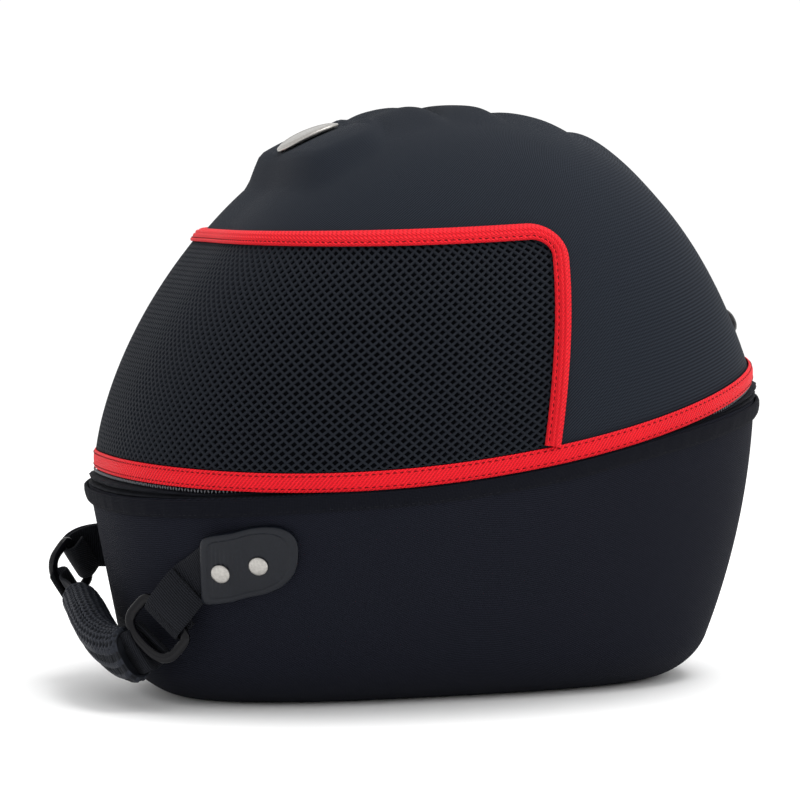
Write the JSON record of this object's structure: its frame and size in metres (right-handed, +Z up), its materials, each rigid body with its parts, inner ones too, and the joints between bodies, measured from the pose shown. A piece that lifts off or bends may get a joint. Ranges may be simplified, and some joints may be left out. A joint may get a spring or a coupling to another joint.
{
  "type": "motorcycle helmet carrying bag",
  "caption": "Hard-shell helmet bag: deep moulded tub and domed zip lid with a mesh pocket, red edge tape and a webbing handle on two rings.",
  "frame": {"origin": "middle of the flat base, on the ground", "axes": "+Z up; -X the front with the handle and the mesh pocket, +X the rear; the bag is longest along X and narrowest along Y"},
  "size_m": [0.4033, 0.2886, 0.3253],
  "materials": {
    "tub_fabric": "matte",
    "lid_fabric": "matte",
    "black_binding": "matte",
    "red_tape": "matte",
    "zip_fabric": "matte",
    "zip_coil": "satin",
    "pale_metal": "satin",
    "mesh_fabric": "matte",
    "tab_rubber": "satin",
    "gloss_black": "gloss",
    "webbing": "matte",
    "grip_foam": "matte"
  },
  "bodies": {
    "root": {"lower_shell": "tub_fabric", "upper_shell": "lid_fabric", "rim_binding": "black_binding", "lid_binding": "red_tape", "zip_tape": "zip_fabric", "zip_chain": "zip_coil", "zip_slider": "zip_coil", "badge": "pale_metal", "mesh_pocket": "mesh_fabric", "pocket_binding": "red_tape", "stud_base": "tab_rubber", "stud": "gloss_black", "tab_near": "tab_rubber", "tab_far": "tab_rubber", "rivet_near_front": "pale_metal", "rivet_near_rear": "pale_metal", "rivet_far_front": "pale_metal", "rivet_far_rear": "pale_metal", "tab_strap_near": "webbing", "tab_strap_far": "webbing", "ring_near": "gloss_black", "ring_far": "gloss_black", "handle_strap": "webbing", "grip": "grip_foam"}
  },
  "joints": []
}
